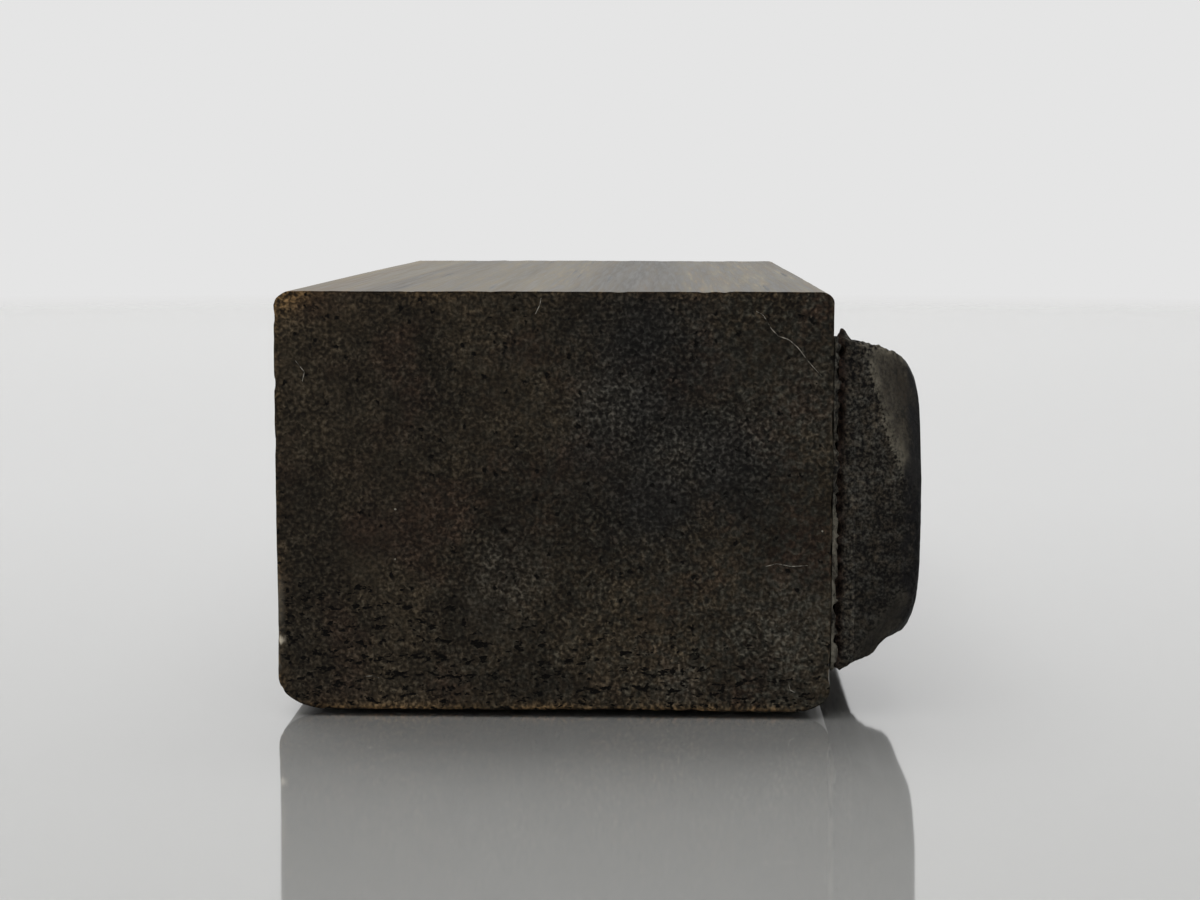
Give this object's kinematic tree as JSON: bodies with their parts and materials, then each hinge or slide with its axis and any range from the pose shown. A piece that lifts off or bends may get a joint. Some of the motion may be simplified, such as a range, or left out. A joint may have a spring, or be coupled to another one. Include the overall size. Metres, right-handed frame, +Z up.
{
  "type": "hand stamp",
  "caption": "Block-mounted rubber hand stamp: ink-stained hardwood block, held as its own grip, with a hand-trimmed rubber printing die cemented over a thin cushion along its side.",
  "frame": {"origin": "on the plane that the stamp lies on, under the middle of its bounding box", "axes": "+X points the way the die prints, away from the wood; +Y runs along the block, away from the pictured end; +Z is up as the stamp lies on its long side"},
  "size_m": [0.0278, 0.053, 0.0183],
  "materials": {
    "ink_stained_hardwood": "bare dense hardwood, stained dark by old ink and handling, satin",
    "dried_glue": "dried cement, dull grey",
    "sponge_rubber": "fine open-cell sponge, dull, cut edge",
    "inked_rubber": "vulcanised rubber, knife-cut walls, inked face, satin"
  },
  "bodies": {
    "root": {"wood_mount": "ink_stained_hardwood", "mount_glue": "dried_glue", "cushion_sheet": "sponge_rubber", "die_glue": "dried_glue", "rubber_die": "inked_rubber"}
  },
  "joints": []
}
